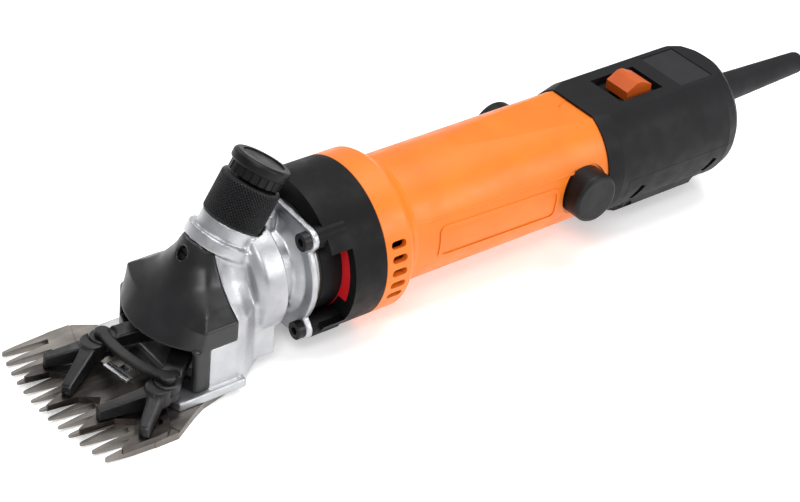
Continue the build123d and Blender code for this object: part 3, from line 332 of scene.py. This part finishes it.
def cover_share(x, y, z):
    """Upper faces of the nose cover, clear of its joint, its ridge and its screw."""
    screw = math.dist((x, y, z), COVER_SCREW)
    return min((COVER_REAR_X - x) / 1.5, (z - COVER_RIDGE_Z) / 3.0, (screw - SCREW_CLEAR) / 1.5)


def wall_share(x, y, z):
    """Side walls of the head casting behind the nose cover."""
    return min((x - WALL_FRONT_X) / 1.5, (WALL_REAR_X - x) / 2.0, (abs(y) - WALL_INNER_Y) / 2.0,
               (z - WALL_LOW_Z) / 2.0, (WALL_HIGH_Z - z) / 2.0)


def ring_mesh(name, rings):
    """A closed skin through rings of equal point count, the last joined to the first."""
    count = len(rings[0])
    points = [point for ring in rings for point in ring]
    faces = []
    for i in range(len(rings)):
        j = (i + 1) % len(rings)
        for k in range(count):
            m = (k + 1) % count
            faces.append((i * count + k, i * count + m, j * count + m, j * count + k))
    mesh = bpy.data.meshes.new(name)
    mesh.from_pydata(points, [], faces)
    mesh.update()
    piece = bpy.data.objects.new(name, mesh)
    bpy.context.collection.objects.link(piece)
    return piece


def knurled_sleeve():
    """Grip sleeve of the tension knob with a cut diamond knurl."""
    foot = Vector(KNOB_FOOT)
    turn = Matrix.Rotation(KNOB_LEAN, 3, "Y")
    outer, bore, height, edge = 12.0, 5.55, 17.0, 0.6
    around, rows = 384 // int(coarse), 120 // int(coarse)
    cut, teeth, lead = 0.42, 54, 4.7
    profile = [(bore, 0.0, 0.0), (outer - edge - cut, 0.0, 0.0)]
    for i in range(rows + 1):
        s = edge * 0.5 + (height - edge) * i / rows
        fade = min(1.0, (s - edge * 0.5) / 0.7, (height - edge * 0.5 - s) / 0.7)
        profile.append((outer - cut, s, max(0.0, fade)))
    profile += [(outer - edge - cut, height, 0.0), (bore, height, 0.0)]
    rings = []
    for radius, s, fade in profile:
        ring = []
        for k in range(around):
            angle = 2 * math.pi * k / around
            first = abs(math.sin((teeth * angle + lead * s) / 2))
            second = abs(math.sin((teeth * angle - lead * s) / 2))
            r = radius + fade * cut * min(1.0, 1.6 * first * second)
            point = Vector((r * math.cos(angle), r * math.sin(angle), s)) * MM
            ring.append(foot + turn @ point)
        rings.append(ring)
    sleeve = ring_mesh("tension_sleeve_knurled", rings)
    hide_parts("tension_sleeve")
    finished(sleeve, "tension_sleeve")


def housing_bead(side):
    """Thin raised line moulded along the upper flank of the motor housing."""
    radius, half, rise = MOTOR_RADIUS, 0.55, 0.3
    rings = []
    for i in range(41):
        share = i / 40
        x, z = -41.0 + 80.0 * share, 11.3 - 2.2 * share
        angle = math.asin(z / radius)
        taper = min(1.0, 8 * share, 8 * (1 - share))
        ring = []
        for spread, height in ((-1.0, -0.5), (-0.6, 0.55), (0.0, 1.0), (0.6, 0.55), (1.0, -0.5)):
            a = angle + spread * half / radius
            r = radius + rise * (height * taper if height > 0 else height)
            ring.append((x * MM, side * r * math.cos(a) * MM, (MOTOR_AXIS_Z + r * math.sin(a)) * MM))
        rings.append(ring)
    name = "housing_bead_" + ("left" if side > 0 else "right")
    points = [point for ring in rings for point in ring]
    faces = []
    for i in range(len(rings) - 1):
        for k in range(5):
            m = (k + 1) % 5
            faces.append((5 * i + k, 5 * i + m, 5 * i + 5 + m, 5 * i + 5 + k))
    faces += [tuple(range(5)), tuple(range(len(points) - 1, len(points) - 6, -1))]
    mesh = bpy.data.meshes.new(name)
    mesh.from_pydata(points, [], faces)
    mesh.update()
    bead = bpy.data.objects.new(name, mesh)
    bpy.context.collection.objects.link(bead)
    finished(bead, "motor_housing")


coarse = 1.0
soften(rounded_copy("head_casting", 0.45 * coarse, 4), wall_share, 50)
soften(rounded_copy("nose_cover", 0.45 * coarse, 6), cover_share, 70)
rounded_copy("fork", 0.4 * coarse, 10)
for side in ("left", "right"):
    rounded_copy("chicken_foot_" + side, 0.3 * coarse, 16)
rounded_copy("foot_yoke", 0.3 * coarse, 8)
knurled_sleeve()
housing_bead(-1)
housing_bead(1)

for node_name, width in {
        "gear_case": 0.5, "motor_housing": 0.35, "rear_housing": 0.5, "lower_cover": 0.4,
        "switch_slider": 0.5, "comb": 0.12, "cutter": 0.12, "head_screws": 0.3,
        "label_plate": 0.1, "lower_cover_screws": 0.2}.items():
    bevel = cad_nodes[node_name].modifiers.new("edge", "BEVEL")
    bevel.width = width * MM
    bevel.segments = 2
    bevel.limit_method = "ANGLE"
    bevel.angle_limit = math.radians(34.0)
    bevel.harden_normals = True


# ---------------------------------------------------------------- floor, light, camera


def studio_floor():
    span = 6.0
    mesh = bpy.data.meshes.new("floor")
    corners = [(-span, -span, 0), (span, -span, 0), (span, span, 0), (-span, span, 0)]
    mesh.from_pydata(corners, [], [(0, 1, 2, 3)])
    floor = bpy.data.objects.new("floor", mesh)
    bpy.context.collection.objects.link(floor)
    paper = Surface("floor_paper")
    paper.colour(paper.blend(paper.spread(paper.noise(3.0), 0.0, 1.0), linear(250, 250, 250),
                             linear(254, 254, 254)))
    paper.roughness(paper.spread(paper.noise(40.0), 0.85, 0.95))
    paper.bump(paper.noise(900.0), 0.05 * MM, 0.2)
    paper.fixed(specular=0.1)
    paper.shader.inputs["Emission Color"].default_value = (1.0, 1.0, 1.0, 1.0)
    paper.shader.inputs["Emission Strength"].default_value = 0.3
    mesh.materials.append(paper.material)


def softbox(name, place, aim, size, power):
    """A square area light at place that faces aim."""
    lamp = bpy.data.lights.new(name, "AREA")
    lamp.shape = "RECTANGLE"
    lamp.size, lamp.size_y = size
    lamp.energy = power
    light = bpy.data.objects.new(name, lamp)
    light.location = place
    facing = Vector(aim) - Vector(place)
    light.rotation_euler = facing.to_track_quat("-Z", "Y").to_euler()
    bpy.context.collection.objects.link(light)


def camera():
    """Camera at the three-quarter view from above the comb end, slightly rolled."""
    right = Vector((0.78694, -0.61107, 0.08555))
    up = Vector((0.29352, 0.49268, 0.81922))
    ahead = Vector((0.54275, 0.61956, -0.56707))
    lens = bpy.data.cameras.new("camera")
    lens.lens = 106.94
    lens.sensor_width = 36.0
    lens.clip_end = 20.0
    view = bpy.data.objects.new("camera", lens)
    turn = Matrix((right, up, -ahead)).transposed().to_4x4()
    view.matrix_world = Matrix.Translation((-0.54035, -0.58505, 0.54911)) @ turn
    bpy.context.collection.objects.link(view)
    bpy.context.scene.camera = view


studio_floor()
middle = (-0.02, 0.0, 0.04)
softbox("key", (-0.7, -0.7, 1.15), middle, (0.6, 0.45), 7.0)
softbox("top", (0.35, 0.1, 1.5), middle, (1.0, 0.8), 17.0)
softbox("side", (0.75, -1.25, 0.75), middle, (0.8, 0.5), 10.0)
softbox("back", (0.1, 1.3, 0.9), middle, (1.2, 0.4), 5.0)
world = bpy.data.worlds.new("studio")
bpy.context.scene.world = world
world.use_nodes = True
sky = world.node_tree.nodes["Background"]
sky.inputs["Color"].default_value = (1.0, 1.0, 1.0, 1.0)
sky.inputs["Strength"].default_value = 0.38
camera()
bpy.context.scene.view_settings.view_transform = "Standard"
